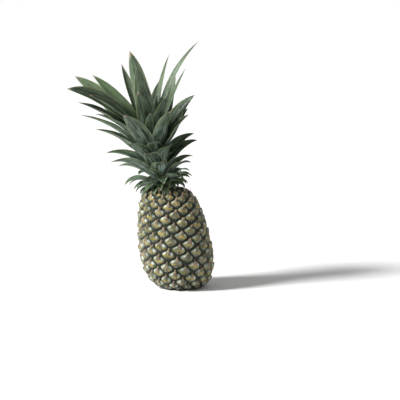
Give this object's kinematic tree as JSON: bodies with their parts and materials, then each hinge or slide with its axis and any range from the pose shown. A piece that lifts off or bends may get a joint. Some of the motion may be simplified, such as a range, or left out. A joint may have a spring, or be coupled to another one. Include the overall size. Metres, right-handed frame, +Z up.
{
  "type": "pineapple",
  "caption": "Whole fresh pineapple with its leafy crown, standing on its cut base and leaning slightly to one side.",
  "frame": {"origin": "middle of the cut stalk face, in the plane that the fruit stands on", "axes": "+Z up, from the cut base to the crown; the fruit and its crown lean towards -X; the front looks along -Y"},
  "size_m": [0.2172, 0.1626, 0.3651],
  "materials": {
    "rind": "matte",
    "cut_stalk": "matte",
    "crown_stem": "matte",
    "leaf": "satin"
  },
  "bodies": {
    "root": {"fruit": "rind", "stalk_stub": "cut_stalk", "crown_stem": "crown_stem", "crown_leaf_01": "leaf", "crown_leaf_02": "leaf", "crown_leaf_03": "leaf", "crown_leaf_04": "leaf", "crown_leaf_05": "leaf", "crown_leaf_06": "leaf", "crown_leaf_07": "leaf", "crown_leaf_08": "leaf", "crown_leaf_09": "leaf", "crown_leaf_10": "leaf", "crown_leaf_11": "leaf", "crown_leaf_12": "leaf", "crown_leaf_13": "leaf", "crown_leaf_14": "leaf", "crown_leaf_15": "leaf", "crown_leaf_16": "leaf", "crown_leaf_17": "leaf", "crown_leaf_18": "leaf", "crown_leaf_19": "leaf", "crown_leaf_20": "leaf", "crown_leaf_21": "leaf", "crown_leaf_22": "leaf", "crown_leaf_23": "leaf", "crown_leaf_24": "leaf", "crown_leaf_25": "leaf", "crown_leaf_26": "leaf", "crown_leaf_27": "leaf", "crown_leaf_28": "leaf", "crown_leaf_29": "leaf", "crown_leaf_30": "leaf", "crown_leaf_31": "leaf", "crown_leaf_32": "leaf", "crown_leaf_33": "leaf", "crown_leaf_34": "leaf", "crown_leaf_35": "leaf", "crown_leaf_36": "leaf", "crown_leaf_37": "leaf", "crown_leaf_38": "leaf", "crown_leaf_39": "leaf", "crown_leaf_40": "leaf", "crown_leaf_41": "leaf", "crown_leaf_42": "leaf", "crown_leaf_43": "leaf", "crown_leaf_44": "leaf", "crown_leaf_45": "leaf", "crown_leaf_46": "leaf", "crown_leaf_47": "leaf", "crown_leaf_48": "leaf", "crown_leaf_49": "leaf", "crown_leaf_50": "leaf", "crown_leaf_51": "leaf", "crown_leaf_52": "leaf", "crown_leaf_53": "leaf", "crown_leaf_54": "leaf", "crown_leaf_55": "leaf", "crown_leaf_56": "leaf", "crown_leaf_57": "leaf"}
  },
  "joints": []
}
